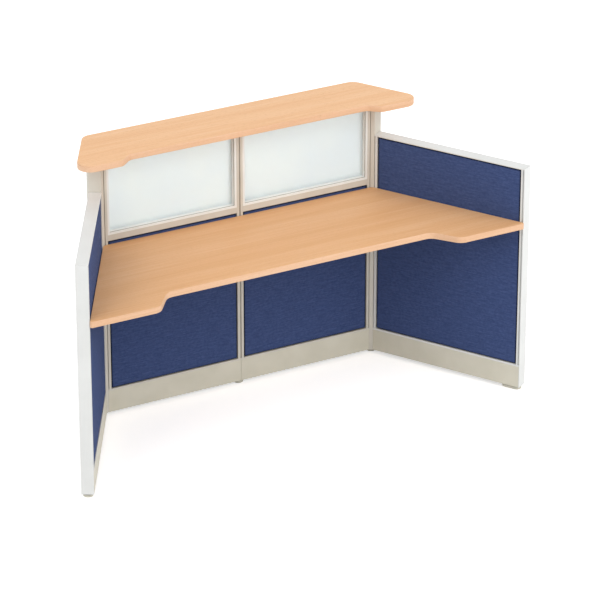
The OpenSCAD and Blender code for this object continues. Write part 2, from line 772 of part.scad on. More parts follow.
module wall_outside_kick_plate() { color(kick_col) in_plan() kick_plate(-bay_width, bay_width * 2, 1); }
module side_left_inside_kick_plate() { color(kick_col) on_left_side() side_kick_plate(-1); }
module side_right_inside_kick_plate() { color(kick_col) on_right_side() side_kick_plate(-1); }
module side_left_outside_kick_plate() { color(kick_col) on_left_side() side_kick_plate(1); }
module side_right_outside_kick_plate() { color(kick_col) on_right_side() side_kick_plate(1); }
module middle_worktop_bracket() { color(steel_col) in_plan() at_bracket(0) worktop_bracket(); }
module left_worktop_bracket() { color(steel_col) in_plan() at_bracket(1) worktop_bracket(); }
module right_worktop_bracket() { color(steel_col) in_plan() at_bracket(2) worktop_bracket(); }
module left_counter_bracket() { color(steel_col) on_left_bay() counter_bracket(); }
module right_counter_bracket() { color(steel_col) on_right_bay() counter_bracket(); }
module middle_foot() { color(foot_col) in_plan() foot(); }
module left_corner_foot() { color(foot_col) in_plan() translate([-corner_x, 0, 0]) foot(); }
module right_corner_foot() { color(foot_col) in_plan() translate([corner_x, 0, 0]) foot(); }
module left_end_foot() { color(foot_col) on_left_side() translate([end_foot_x, 0, 0]) end_foot(); }
module right_end_foot() { color(foot_col) on_right_side() translate([end_foot_x, 0, 0]) end_foot(); }

worktop();
worktop_edging();
counter();
counter_edging();
wall_left_outer_upright();
wall_left_inner_upright();
wall_right_inner_upright();
wall_right_outer_upright();
wall_base_rail();
wall_top_rail();
wall_left_middle_rail();
wall_right_middle_rail();
side_left_back_upright();
side_left_front_upright();
side_right_back_upright();
side_right_front_upright();
side_left_base_rail();
side_right_base_rail();
side_left_top_rail();
side_right_top_rail();
side_left_cross_rail();
side_right_cross_rail();
wall_left_inside_tile();
wall_right_inside_tile();
wall_left_outside_tile();
wall_right_outside_tile();
side_left_inside_tile();
side_right_inside_tile();
side_left_outside_tile();
side_right_outside_tile();
left_glass_pane();
right_glass_pane();
left_inside_bead();
right_inside_bead();
left_outside_bead();
right_outside_bead();
left_corner_post();
right_corner_post();
joining_strips();
left_end_cover();
right_end_cover();
wall_left_inside_kick_plate();
wall_right_inside_kick_plate();
wall_outside_kick_plate();
side_left_inside_kick_plate();
side_right_inside_kick_plate();
side_left_outside_kick_plate();
side_right_outside_kick_plate();
middle_worktop_bracket();
left_worktop_bracket();
right_worktop_bracket();
left_counter_bracket();
right_counter_bracket();
bracket_screws();
rail_screws();
middle_foot();
left_corner_foot();
right_corner_foot();
left_end_foot();
right_end_foot();
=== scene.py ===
import math

import bmesh
import bpy
import numpy as np
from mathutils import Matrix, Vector


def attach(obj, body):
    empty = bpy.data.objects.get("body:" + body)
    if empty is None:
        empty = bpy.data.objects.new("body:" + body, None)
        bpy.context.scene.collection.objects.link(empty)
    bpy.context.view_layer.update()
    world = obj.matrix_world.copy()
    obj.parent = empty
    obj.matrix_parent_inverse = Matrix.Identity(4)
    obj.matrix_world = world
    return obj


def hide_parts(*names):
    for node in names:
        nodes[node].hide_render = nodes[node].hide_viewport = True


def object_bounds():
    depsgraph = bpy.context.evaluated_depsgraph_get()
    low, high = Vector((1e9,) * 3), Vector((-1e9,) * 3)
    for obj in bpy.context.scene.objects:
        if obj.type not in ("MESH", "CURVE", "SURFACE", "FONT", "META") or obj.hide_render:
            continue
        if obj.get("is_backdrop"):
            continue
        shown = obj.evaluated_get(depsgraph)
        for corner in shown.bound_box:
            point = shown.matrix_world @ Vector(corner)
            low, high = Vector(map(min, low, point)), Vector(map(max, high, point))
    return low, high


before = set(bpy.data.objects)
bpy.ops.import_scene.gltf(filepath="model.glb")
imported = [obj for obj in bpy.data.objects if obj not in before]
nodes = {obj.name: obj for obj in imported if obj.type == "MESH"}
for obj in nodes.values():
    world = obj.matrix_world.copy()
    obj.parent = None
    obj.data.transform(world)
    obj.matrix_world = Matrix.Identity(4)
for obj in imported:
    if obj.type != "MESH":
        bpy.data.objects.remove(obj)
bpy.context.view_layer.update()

# Everything is in metres, in the frame of the CAD nodes: +Z up, +X along the wall,
# +Y from the person at the worktop to the visitor. What the CAD nodes tell is read off them.

def cadPoints(name):
    mesh = nodes[name].data
    flat = np.zeros(len(mesh.vertices) * 3, np.float32)
    mesh.vertices.foreach_get("co", flat)
    return flat.reshape(-1, 3).astype(float)


def cornersOf(points):
    # low and high corner of their box, to the micrometre, beyond which the frame holds noise
    return points.min(axis=0).round(6), points.max(axis=0).round(6)


# The plan of the desk, which the pieces below are placed by
wallLow, wallHigh = cornersOf(cadPoints("wall_base_rail"))
wallMiddle = (wallLow[1] + wallHigh[1]) / 2
faceShift = 0.000005    # without it faces lie exactly in those of CAD nodes and render darker
plan = {
    "middle": wallMiddle + faceShift,               # y of the wall's centre line
    "halfThick": (wallHigh[1] - wallLow[1]) / 2,    # half of a panel's thickness
    "wallEnd": wallHigh[0],                         # from the desk's middle
    "corner": 0.6235,           # from the desk's middle to the centre of a corner
    "splay": math.radians(60),  # turn of a side panel from the wall's line
}
hands = (("left", -1), ("right", 1))        # halves of the desk
sides = (("inside", -1), ("outside", 1))    # faces of a panel
sharpAngle = math.radians(35)               # a surface that turns further shows an edge
black, white = (0, 0, 0, 1), (1, 1, 1, 1)

# Small helpers

def linearColour(hexText):
    # sRGB hex to linear: c / 12.92 below 0.04045, else ((c + 0.055) / 1.055) to the power 2.4
    parts = [int(hexText[i:i + 2], 16) / 255 for i in (1, 3, 5)]
    return [c / 12.92 if c <= 0.04045 else ((c + 0.055) / 1.055) ** 2.4 for c in parts] + [1.0]


def addNode(tree, kind, settings=None, links=None):
    # a setting in lower case sets a property of the node, and any other sets one of its inputs
    node = tree.nodes.new(kind)
    for name, value in (settings or {}).items():
        if name[0].islower():
            setattr(node, name, value)
        else:
            node.inputs[name].default_value = value
    for name, source in (links or {}).items():
        tree.links.new(source, node.inputs[name])
    return node


def startMaterial(name, settings):
    material = bpy.data.materials.new(name)
    material.use_nodes = True
    tree = material.node_tree
    shader = tree.nodes["Principled BSDF"]
    for key, value in settings.items():
        shader.inputs[key].default_value = value
    return material, tree, shader


def addRamp(tree, source, places, colours):
    # colour ramp that has one colour at each place
    ramp = addNode(tree, "ShaderNodeValToRGB", links={"Fac": source})
    elements = ramp.color_ramp.elements
    while len(elements) < len(places):
        elements.new(0.5)
    for element, place, colour in zip(elements, places, colours):
        element.position = place
        element.color = linearColour(colour) if isinstance(colour, str) else colour
    return ramp.outputs["Color"]


def feed(tree, socket, given):
    # gives a socket its value: another socket, a number or a linear colour
    if isinstance(given, bpy.types.NodeSocket):
        tree.links.new(given, socket)
    else:
        socket.default_value = given


def addMath(tree, operation, first, second=0.0):
    # either operand is a number or a socket
    node = addNode(tree, "ShaderNodeMath", {"operation": operation})
    feed(tree, node.inputs[0], first)
    feed(tree, node.inputs[1], second)
    return node.outputs[0]


def addBlend(tree, factor, first, second, kind="RGBA"):
    # mixes two colours, or two numbers where kind is FLOAT
    mix = addNode(tree, "ShaderNodeMix", {"data_type": kind})
    given = {"Factor": factor, "A": first, "B": second}
    for socket in mix.inputs:
        if socket.enabled and socket.name in given:
            feed(tree, socket, given[socket.name])
    return [socket for socket in mix.outputs if socket.enabled][0]


def addNoise(tree, at, cell, detail, distortion=0.0):
    # noise whose cells measure cell metres along each axis
    stretched = addNode(tree, "ShaderNodeMapping", {"Scale": [1 / c for c in cell]},
                        {"Vector": at})
    return addNode(tree, "ShaderNodeTexNoise",
                   {"Scale": 1.0, "Detail": detail, "Distortion": distortion},
                   {"Vector": stretched.outputs["Vector"]}).outputs["Fac"]


def addBump(tree, shader, height, distance, strength=1.0, rounding=None):
    bump = addNode(tree, "ShaderNodeBump", {"Distance": distance, "Strength": strength},
                   {"Height": height})
    if rounding:
        # softens the arrises of an extrusion, as its coat does
        soft = addNode(tree, "ShaderNodeBevel", rounding)
        tree.links.new(soft.outputs["Normal"], bump.inputs["Normal"])
    tree.links.new(bump.outputs["Normal"], shader.inputs["Normal"])


def paint(names, material):
    for name in names:
        mesh = nodes[name].data
        mesh.materials.clear()
        mesh.materials.append(material)


def meshPiece(name, points, faces, material, body, uv=None, replaced=None):
    # points is an (n, 3) array and uv an (n, 2) array in metres, one row per point
    mesh = bpy.data.meshes.new(name)
    mesh.from_pydata(points.tolist(), [], faces)
    if uv is not None:
        layer = mesh.uv_layers.new(name="UVMap")
        loops = np.zeros(len(mesh.loops), np.int32)
        mesh.loops.foreach_get("vertex_index", loops)
        layer.data.foreach_set("uv", uv[loops].astype(np.float32).ravel())
    work = bmesh.new()
    work.from_mesh(mesh)
    bmesh.ops.recalc_face_normals(work, faces=work.faces)
    work.to_mesh(mesh)
    work.free()
    mesh.polygons.foreach_set("use_smooth", np.ones(len(mesh.polygons), bool))
    mesh.set_sharp_from_angle(angle=sharpAngle)
    mesh.materials.append(material)
    mesh.update()
    piece = bpy.data.objects.new(name, mesh)
    bpy.context.scene.collection.objects.link(piece)
    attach(piece, body)
    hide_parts(replaced or name)
    return piece


def gridFaces(rows, columns, closeRows=False, closeColumns=False):
    # quads between neighbours of a rows x columns grid of points
    index = np.arange(rows * columns).reshape(rows, columns)
    if closeRows:
        index = np.vstack([index, index[:1]])
    if closeColumns:
        index = np.hstack([index, index[:, :1]])
    return np.stack([index[:-1, :-1], index[1:, :-1], index[1:, 1:], index[:-1, 1:]],
                    axis=-1).reshape(-1, 4).tolist()


def cappedFaces(rows, columns):
    # a tube of points, closed round its columns and filled at both ends
    return gridFaces(rows, columns, closeColumns=True) + [
        list(range(columns)), list(range((rows - 1) * columns, rows * columns))]


def runLength(points):
    # distance run along a row of points, 0 at the first
    steps = np.linalg.norm(np.diff(points, axis=0), axis=1)
    return np.concatenate([[0.0], steps.cumsum()])


def onPanel(panel, hand, points):
    # points hold the distance along the panel, its depth towards the visitor and the height;
    # hand is 1 for the right half of the desk and -1 for the left
    along, depth, height = points[..., 0], points[..., 1], points[..., 2]
    if panel == "wall":
        x, y = along, depth
    else:
        turn = plan["splay"]
        x = plan["corner"] + along * math.cos(turn) + depth * math.sin(turn)
        y = -along * math.sin(turn) + depth * math.cos(turn)
    return np.stack([hand * x, y + plan["middle"], height], axis=-1)


def panelBox(name, panel, hand):
    # low and high corner of a CAD node, measured as onPanel places points
    x, y, z = (cadPoints(name) * (hand, 1, 1) - (0, wallMiddle, 0)).T
    if panel == "side":
        sine, cosine = math.sin(plan["splay"]), math.cos(plan["splay"])
        x = x - plan["corner"]
        x, y = x * cosine - y * sine, x * sine + y * cosine
    return cornersOf(np.stack([x, y, z], axis=1))


def roundedRectangle(half, inset, radius, angle):
    # point = centre of the corner's arc + radius * (cos angle, sin angle), where the centre
    # lies inset + radius inside the rectangle's sides, in the quadrant of the angle
    quadrant = np.arange(len(angle)) * 4 // len(angle)
    sign = np.array([[1, 1], [-1, 1], [-1, -1], [1, -1]])[quadrant]
    centre = sign * (np.asarray(half) - inset[:, None, None] - radius[:, None, None])
    ray = np.stack([np.cos(angle), np.sin(angle)], axis=-1)
    return centre + radius[:, None, None] * ray, ray


def sweepLoop(outline, profile):
    # each profile point (inset, level) draws the outline moved inwards by the inset along
    # the mitre (n1 + n2) / (1 + n1 . n2) of the edges' outward normals n1 and n2
    edge = np.roll(outline, -1, axis=0) - outline
    edge = edge / np.linalg.norm(edge, axis=1, keepdims=True)
    area = np.sum(outline[:, 0] * np.roll(outline[:, 1], -1) - outline[:, 1]
                  * np.roll(outline[:, 0], -1))
    normal = np.stack([edge[:, 1], -edge[:, 0]], axis=1) * np.sign(area)
    before = np.roll(normal, 1, axis=0)
    mitre = (normal + before) / (1 + np.sum(normal * before, axis=1, keepdims=True))
    flat = outline[None] - mitre[None] * profile[:, :1, None]
    level = np.broadcast_to(profile[:, 1:, None], flat.shape[:2] + (1,))
    run = np.broadcast_to(runLength(outline)[None, :, None], level.shape)
    climb = np.broadcast_to(runLength(profile)[:, None, None], level.shape)
    return np.concatenate([flat, level], axis=-1), np.concatenate([run, climb], axis=-1)


def arc(centre, radius, start, end, steps):
    # points on a circle, from the start to the end in degrees
    angle = np.radians(np.linspace(start, end, steps))
    return np.array(centre) + radius * np.stack([np.cos(angle), np.sin(angle)], axis=1)


def threadRadius(z, angle, core, crest, pitch):
    # core + (crest - core) |2 f - 1| with f = frac(z / pitch - angle / 2 pi)
    f = (z / pitch - angle / (2 * math.pi)) % 1.0
    return core + (crest - core) * np.abs(2 * f - 1)


# Camera, light and floor

camera = {
    "place": (-6.1505, -11.4945, 6.5602),
    "yaw": math.radians(28.7299),       # turned from +Y towards +X
    "pitch": math.radians(25.0439),     # looks down
    "lens": 216.697,                    # focal length, mm
    "sensor": 36.0,                     # width, mm
    "clip": (0.5, 200),                 # it sees what lies between these distances
}
lighting = {
    "ambient": 0.76,            # the sky's strength on the object
    "aim": (0.0, 0.0, 0.5),     # both lamps point here
    "size": 4.0,                # side of the square lamps
    "keyPower": 192.0,          # W
    "keyPlace": (3.2, -5.0, 4.6),
    "fillPower": 135.0,
    "fillPlace": (-6.0, -2.3, 5.0),
    "floorColour": "#F0F0F0",
    "floorRoughness": 0.9,
    "floorGlow": 0.50,          # lifts the floor to white where it is seen directly
    "floorHalf": 60.0,          # half of the floor's side
}


def makeCamera(s):
    data = bpy.data.cameras.new("camera")
    data.lens = s["lens"]
    data.sensor_width = s["sensor"]
    data.sensor_fit = "HORIZONTAL"
    data.clip_start, data.clip_end = s["clip"]
    view = bpy.data.objects.new("camera", data)
    ahead = Vector((math.sin(s["yaw"]) * math.cos(s["pitch"]),
                    math.cos(s["yaw"]) * math.cos(s["pitch"]), -math.sin(s["pitch"])))
    view.location = s["place"]
    view.rotation_euler = ahead.to_track_quat("-Z", "Y").to_euler()
    bpy.context.scene.collection.objects.link(view)
    bpy.context.scene.camera = view


def makeLamp(name, place, aim, power, size):
    data = bpy.data.lights.new(name, "AREA")
    data.shape = "SQUARE"
    data.size = size
    data.energy = power
    lamp = bpy.data.objects.new(name, data)
    lamp.location = place
    lamp.rotation_euler = (Vector(aim) - Vector(place)).to_track_quat("-Z", "Y").to_euler()
    bpy.context.scene.collection.objects.link(lamp)


def seenDirectly(tree):
    # 1 for rays of the camera and for what mirrors and glass show, else 0
    path = addNode(tree, "ShaderNodeLightPath")
    either = addMath(tree, "MAXIMUM", path.outputs["Is Camera Ray"], path.outputs["Is Glossy Ray"])
    return addMath(tree, "MAXIMUM", either, path.outputs["Is Transmission Ray"])


def makeSurroundings(s):
    world = bpy.data.worlds.new("surroundings")
    bpy.context.scene.world = world
    world.use_nodes = True
    tree = world.node_tree
    background = tree.nodes["Background"]
    background.inputs["Color"].default_value = white
    strength = addNode(tree, "ShaderNodeMapRange", {"To Min": s["ambient"], "To Max": 1.0},
                       {"Value": seenDirectly(tree)})
    tree.links.new(strength.outputs["Result"], background.inputs["Strength"])

    makeLamp("key", s["keyPlace"], s["aim"], s["keyPower"], s["size"])
    makeLamp("fill", s["fillPlace"], s["aim"], s["fillPower"], s["size"])

    # painted studio floor: matt white, seamless
    floorMaterial, tree, shader = startMaterial("studioFloor", {
        "Base Color": linearColour(s["floorColour"]), "Roughness": s["floorRoughness"],
        "Emission Color": white})
    glow = addMath(tree, "MULTIPLY", seenDirectly(tree), s["floorGlow"])
    tree.links.new(glow, shader.inputs["Emission Strength"])
    h = s["floorHalf"]
    mesh = bpy.data.meshes.new("floor")
    mesh.from_pydata([(-h, -h, 0), (h, -h, 0), (h, h, 0), (-h, h, 0)], [], [(0, 1, 2, 3)])
    mesh.materials.append(floorMaterial)
    floor = bpy.data.objects.new("floor", mesh)
    bpy.context.scene.collection.objects.link(floor)
    floor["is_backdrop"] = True


bpy.context.scene.view_settings.view_transform = "Standard"
makeCamera(camera)
makeSurroundings(lighting)
print("camera, light and floor are in place")

# Materials

# A noise is given by its cells' size along each axis, its detail and, where the bands waver,
# its distortion. Stops are the noise values that have the tones, dark to light.

laminate = {
    "surface": {"Roughness": 0.45, "IOR": 1.5, "Specular IOR Level": 0.35},
    "figure": ((1.1, 0.055, 0.055), 3.0, 0.4),      # slow bands, about 55 mm apart
    "streaks": ((0.35, 0.007, 0.007), 4.0),         # growth lines, 7 mm to be seen
    "flecks": ((0.014, 0.0012, 0.0012), 1.0),       # 14 mm long and 1.2 mm wide
    "streakShare": 0.5,
    "stops": (0.30, 0.50, 0.70),
    "fleckStops": (0.60, 0.68),
    "fleckShare": 0.35,
    "fleckColour": "#C28B59",
    "relief": 0.00008,          # height of the streaks
}


# beech decor under a satin melamine film: warm tan, fine dark flecks along the grain
def beechLaminate(name, coordinates, tones, s):
    material, tree, shader = startMaterial(name, s["surface"])
    at = addNode(tree, "ShaderNodeTexCoord").outputs[coordinates]
    streaks = addNoise(tree, at, *s["streaks"])
    tone = addBlend(tree, s["streakShare"], addNoise(tree, at, *s["figure"]), streaks, "FLOAT")
    ground = addRamp(tree, tone, s["stops"], tones)
    fleckMask = addRamp(tree, addNoise(tree, at, *s["flecks"]), s["fleckStops"], (black, white))
    colour = addBlend(tree, addMath(tree, "MULTIPLY", fleckMask, s["fleckShare"]), ground,
                      linearColour(s["fleckColour"]))
    tree.links.new(colour, shader.inputs["Base Color"])
    addBump(tree, shader, streaks, s["relief"])
    return material


cloth = {
    "surface": {"Roughness": 0.95, "Specular IOR Level": 0.10, "Sheen Weight": 0.03,
                "Sheen Roughness": 0.5},
    "thread": 0.0016,           # thread spacing: real ones lie closer, this one still shows
    "slub": ((0.050, 0.0045, 1.0), 3.0),    # thick places of the weft
    "dye": ((0.012, 0.012, 1.0), 2.0),      # melange of the yarn
    "dyeShare": 0.4,
    "stops": (0.36, 0.50, 0.64),
    "tones": ("#3C4C78", "#445582", "#4C5D8C"),
    "gapColour": "#262F4C",     # shade in the gaps between threads
    "gapShare": 0.45,
    "edgeShadeColour": "#14182A",     # painted shade of the gaps, where the cloth turns round the board's edge
    "relief": 0.0003,
    "reliefShare": 0.6,
}


# plain woven polyester on a padded board: matt navy with slubs along the weft
def wovenFabric(s):
    material, tree, shader = startMaterial("wovenFabric", s["surface"])
    at = addNode(tree, "ShaderNodeTexCoord").outputs["UV"]
    apart = addNode(tree, "ShaderNodeSeparateXYZ", links={"Vector": at})

    def ridge(axis):
        # |sin(pi u / spacing)| across the threads of one axis: one round thread after the other
        angle = addMath(tree, "MULTIPLY", apart.outputs[axis], math.pi / s["thread"])
        return addMath(tree, "ABSOLUTE", addMath(tree, "SINE", angle))

    squares = addNode(tree, "ShaderNodeTexChecker",
                      {"Scale": 1 / s["thread"], "Color1": white, "Color2": black},
                      {"Vector": at}).outputs["Fac"]
    weave = addBlend(tree, squares, ridge("X"), ridge("Y"), "FLOAT")
    tone = addBlend(tree, s["dyeShare"], addNoise(tree, at, *s["slub"]),
                    addNoise(tree, at, *s["dye"]), "FLOAT")
    colour = addRamp(tree, tone, s["stops"], s["tones"])
    gaps = addMath(tree, "MULTIPLY", addMath(tree, "SUBTRACT", 1.0, weave), s["gapShare"])
    shaded = addBlend(tree, gaps, colour, linearColour(s["gapColour"]))
    # painted shade: the mesh says where the cloth turns over the board's edge into the gap
    rim = addNode(tree, "ShaderNodeAttribute", {"attribute_name": "rim"}).outputs["Fac"]
    edged = addBlend(tree, rim, shaded, linearColour(s["edgeShadeColour"]))
    tree.links.new(edged, shader.inputs["Base Color"])
    addBump(tree, shader, weave, s["relief"], s["reliefShare"])
    return material


powder = {
    "surface": {"IOR": 1.5, "Specular IOR Level": 0.4},
    "ripple": ((0.0025, 0.0025, 0.0025), 2.0),      # the film's unevenness
    "cloud": ((0.12, 0.12, 0.12), 3.0),             # slow change of tone
    "stops": (0.35, 0.65),
    "cornerShade": {"samples": 8, "Distance": 0.008},     # painted shade in joints and corners narrower than this
    "cornerShadeColour": "#8E8A80",
    "relief": 0.00006,
    "reliefShare": 0.5,
    "rounding": {"samples": 4, "Radius": 0.0008},   # of the arrises, by the film
}


# polyester powder coat on metal: satin, with the slight ripple of a baked film
# the fifth argument sets how strongly the shade of joints and corners is painted in
def powderCoat(name, tones, s, roughness=0.42, cornerShadeShare=0.14, seal=None):
    material, tree, shader = startMaterial(name, {**s["surface"], "Roughness": roughness})
    at = addNode(tree, "ShaderNodeTexCoord").outputs["Object"]
    coat = addRamp(tree, addNoise(tree, at, *s["cloud"]), s["stops"], tones)
    # painted shade: joints and corners darken a little where ambient occlusion finds them closed
    # in
    openness = addNode(tree, "ShaderNodeAmbientOcclusion", s["cornerShade"]).outputs["AO"]
    cornerShade = addMath(tree, "MULTIPLY", addMath(tree, "SUBTRACT", 1.0, openness), cornerShadeShare)
    colour = addBlend(tree, cornerShade, coat, linearColour(s["cornerShadeColour"]))
    if seal:  # the grey rubber of a seal shows where the mesh says so
        rubber = addNode(tree, "ShaderNodeAttribute", {"attribute_name": "seal"}).outputs["Fac"]
        colour = addBlend(tree, rubber, colour, linearColour(seal))
    tree.links.new(colour, shader.inputs["Base Color"])
    addBump(tree, shader, addNoise(tree, at, *s["ripple"]), s["relief"], s["reliefShare"],
            s["rounding"])
    return material


etched = {
    "surface": {"Roughness": 0.55, "IOR": 1.5, "Transmission Weight": 0.55},
    "grain": ((0.0015, 0.0015, 0.0015), 2.0),       # roughness left by the acid
    "cloud": ((0.20, 0.20, 0.20), 2.0),             # slow change of tone
    "stops": (0.3, 0.7),
    "tones": ("#F0FAFD", "#F6FFFF"),
    "relief": 0.00005,
    "reliefShare": 0.4,
}


# acid-etched float glass: even, cool and milky, with a dull gloss
def frostedGlass(s):
    material, tree, shader = startMaterial("frostedGlass", s["surface"])
    at = addNode(tree, "ShaderNodeTexCoord").outputs["Object"]
    colour = addRamp(tree, addNoise(tree, at, *s["cloud"]), s["stops"], s["tones"])
    tree.links.new(colour, shader.inputs["Base Color"])
    addBump(tree, shader, addNoise(tree, at, *s["grain"]), s["relief"], s["reliefShare"])
    return material


smallPart = {
    "grain": ((0.004, 0.004, 0.004), 4.0),
    "stops": (0.35, 0.65),
    "relief": 0.00004,
    "reliefShare": 0.5,
}


# metal and plastic of the small parts: the tone varies over a few millimetres
def smallPartFinish(name, tones, roughness, metallic, s):
    material, tree, shader = startMaterial(name, {"Roughness": roughness, "Metallic": metallic})
    at = addNode(tree, "ShaderNodeTexCoord").outputs["Object"]
    grain = addNoise(tree, at, *s["grain"])
    tree.links.new(addRamp(tree, grain, s["stops"], tones), shader.inputs["Base Color"])
    addBump(tree, shader, grain, s["relief"], s["reliefShare"])
    return material


# the counter's laminate is the lightest. The worktop's is the same beech, darker: painted shade.
# The edge bands are slightly greyer than both: the shade of their front faces painted in
beech = beechLaminate("counterLaminate", "Object", ("#E6B07F", "#EDBC8D", "#F2C69C"), laminate)
shadedWorktopBeech = beechLaminate("shadedWorktopLaminate", "Object", ("#DDA673", "#E4B180", "#EABC8F"),
                          laminate)
shadedBeechBand = beechLaminate("shadedBeechEdgeBand", "UV", ("#DCAE88", "#E4B995", "#E9C2A3"), laminate)
# the only dark surface
fabric = wovenFabric(cloth)
# the frame paint again, darker and warmer, with the shade under the counter painted in: for the
# wall's frame and the posts
shadedFramePaint = powderCoat("shadedFramePowderCoat", ("#CDC9BE", "#D4D0C6"), powder)
# the frame paint itself, paler and cooler grey: the side panels' frames, the top rails and the
# covers
framePaint = powderCoat("paleGreyPowderCoat", ("#DCDDDB", "#E1E2E0"), powder)
# near white, with a beige-grey seal
beadPaint = powderCoat("whitePowderCoat", ("#EAECE9", "#EEF0ED"), powder, 0.38, 0.10, "#A29C8E")
# the yellowest and dullest of the paints
kickPaint = powderCoat("kickPlatePowderCoat", ("#D2CEBD", "#D9D5C5"), powder, 0.5)
# as light as the frame paint with painted shade, and greyer, out of sight below the boards
steelPaint = powderCoat("bracketPowderCoat", ("#CCCAC3", "#D6D4CD"), powder, 0.45)
# milky panes, a bright grey metal and a pale warm grey plastic
glass = frostedGlass(etched)
zinc = smallPartFinish("zincPlate", ("#A9ABAE", "#C9CACC"), 0.35, 1.0, smallPart)
nylon = smallPartFinish("paleGreyNylon", ("#C6C2B3", "#CFCCBE"), 0.55, 0.0, smallPart)
print("materials are made")

# Fabric tiles

tile = {
    "edge": 0.0025,             # radius over which the fabric turns round the board
    "corner": 0.0030,           # radius of the tucked corners
    "leastCorner": 0.0004,      # the radius that they keep on the face
    "edgeSteps": 7,
    "cornerSteps": 6,
    "crown": 0.0005,            # rise of the padded face
    "crownReach": 0.020,        # over which it rises
    # of the rings on the face, from the tile's outline
    "insets": (0.0035, 0.0045, 0.006, 0.008, 0.010, 0.016, 0.026, 0.045, 0.080),
    "edgeShadeReach": 0.0040,         # how far the painted shade of the gaps reaches onto the face
}


def makeTile(name, panel, hand, side, s):
    # rings of a rounded rectangle: up the side, round the edge by
    # inset = r (1 - cos t), depth = face - r (1 - sin t), and over the face, which
    # rises by crown (1 - exp(-(inset - r) / reach)). Depths are from the panel's middle.
    low, high = panelBox(name, panel, hand)
    back, face = sorted(np.abs([low[1], high[1]]))
    t = np.linspace(0, math.pi / 2, s["edgeSteps"])
    r = s["edge"]
    insets = np.array(s["insets"])
    inset = np.concatenate([[0.0], r * (1 - np.cos(t)), insets])
    depth = np.concatenate([[back], face - r * (1 - np.sin(t)),
                            face + s["crown"] * (1 - np.exp((r - insets) / s["crownReach"]))])
    around = np.concatenate([np.linspace(0, math.pi / 2, s["cornerSteps"]) + k * math.pi / 2
                             for k in range(4)])
    half = (high - low)[[0, 2]] / 2
    middle = (high + low)[[0, 2]] / 2
    flat, ray = roundedRectangle(half, inset, np.maximum(s["corner"] - inset, s["leastCorner"]),
                                 around)
    points = np.stack([flat[..., 0] + middle[0],
                       np.broadcast_to(side * depth[:, None], flat.shape[:2]),
                       flat[..., 1] + middle[1]], axis=-1)
    # the weave runs on round the edge: beyond the face it goes on by the arc's length
    unrolled = np.maximum(np.concatenate([[face - r - back + r * math.pi / 2],
                                          r * (math.pi / 2 - t), 0 * insets]), 0)[:, None, None]
    uv = np.where(unrolled > 0, flat[s["edgeSteps"]] + ray * unrolled, flat) + middle
    rows, columns = flat.shape[:2]
    faces = cappedFaces(rows, columns)
    piece = meshPiece(name + "_cloth", onPanel(panel, hand, points.reshape(-1, 3)), faces, fabric,
                      "desk", uv.reshape(-1, 2), name)
    # the painted shade of the gaps is exp(-(inset / reach)^2), 1 on the side and 0 on the face
    rim = np.repeat(np.exp(-(inset / s["edgeShadeReach"]) ** 2), columns)
    piece.data.attributes.new("rim", "FLOAT", "POINT").data.foreach_set("value", rim)


for handName, hand in hands:
    for sideName, side in sides:
        for panel in ("wall", "side"):
            makeTile(f"{panel}_{handName}_{sideName}_tile", panel, hand, side, tile)
print("fabric tiles are made")

# Glazing beads

bead = {
    "width": 0.0115,            # its width on the glass
    "faceWidth": 0.0095,        # it is splayed towards the glass
    "heel": 0.005,              # where the splay ends, from the panel's middle
    "lipOuter": 0.007,          # where the lip that bears on the glass starts, from the frame
    "seat": 0.010,              # where the rest bears on the frame's rib
    "arris": 0.0012,            # rounds the edge towards the glass
    "arrisSteps": 6,
    "seal": (0.0215, 0.0160),   # the grey seal in the side towards the glass, from the middle
    "sealDepth": 0.0006,
    "sealEdge": 0.0001,         # over which its colour starts and ends
}


def makeBead(name, hand, side, s):
    # the bead's section, an L splayed towards the glass, with one rounded arris and a shallow
    # groove that holds the seal, swept round the pane with mitred corners
    low, high = panelBox(name, "wall", hand)
    back, face = sorted(np.abs([low[1], high[1]]))
    r = s["arris"]
    turn = arc((s["faceWidth"] - r, face - r), r, 90, 0, s["arrisSteps"])
    start, end = s["seal"]
    sunk = s["faceWidth"] - s["sealDepth"]
    groove = [[s["faceWidth"], start + s["sealEdge"]], [sunk, start], [sunk, end],
              [s["faceWidth"], end - s["sealEdge"]]]
    lip = [[s["width"], s["heel"]], [s["width"], back], [s["lipOuter"], back],
           [s["lipOuter"], s["seat"]]]
    profile = np.vstack([[[0, s["seat"]], [0, face]], turn, groove, lip])
    x0, z0 = low[[0, 2]]
    x1, z1 = high[[0, 2]]
    outline = np.array([[x0, z0], [x1, z0], [x1, z1], [x0, z1]])
    loop, uv = sweepLoop(outline, profile)
    rows, columns = loop.shape[:2]
    points = np.stack([loop[..., 0], side * loop[..., 2], loop[..., 1]], axis=-1)
    piece = meshPiece(name + "_bar", onPanel("wall", hand, points.reshape(-1, 3)),
                      gridFaces(rows, columns, closeRows=True, closeColumns=True), beadPaint,
                      "desk", uv.reshape(-1, 2), name)
    rubber = np.repeat((profile[:, 0] == sunk).astype(np.float32), columns)
    piece.data.attributes.new("seal", "FLOAT", "POINT").data.foreach_set("value", rubber)


for handName, hand in hands:
    for sideName, side in sides:
        makeBead(f"{handName}_{sideName}_bead", hand, side, bead)
print("glazing beads are made")

# Edge bands of the worktop and the counter

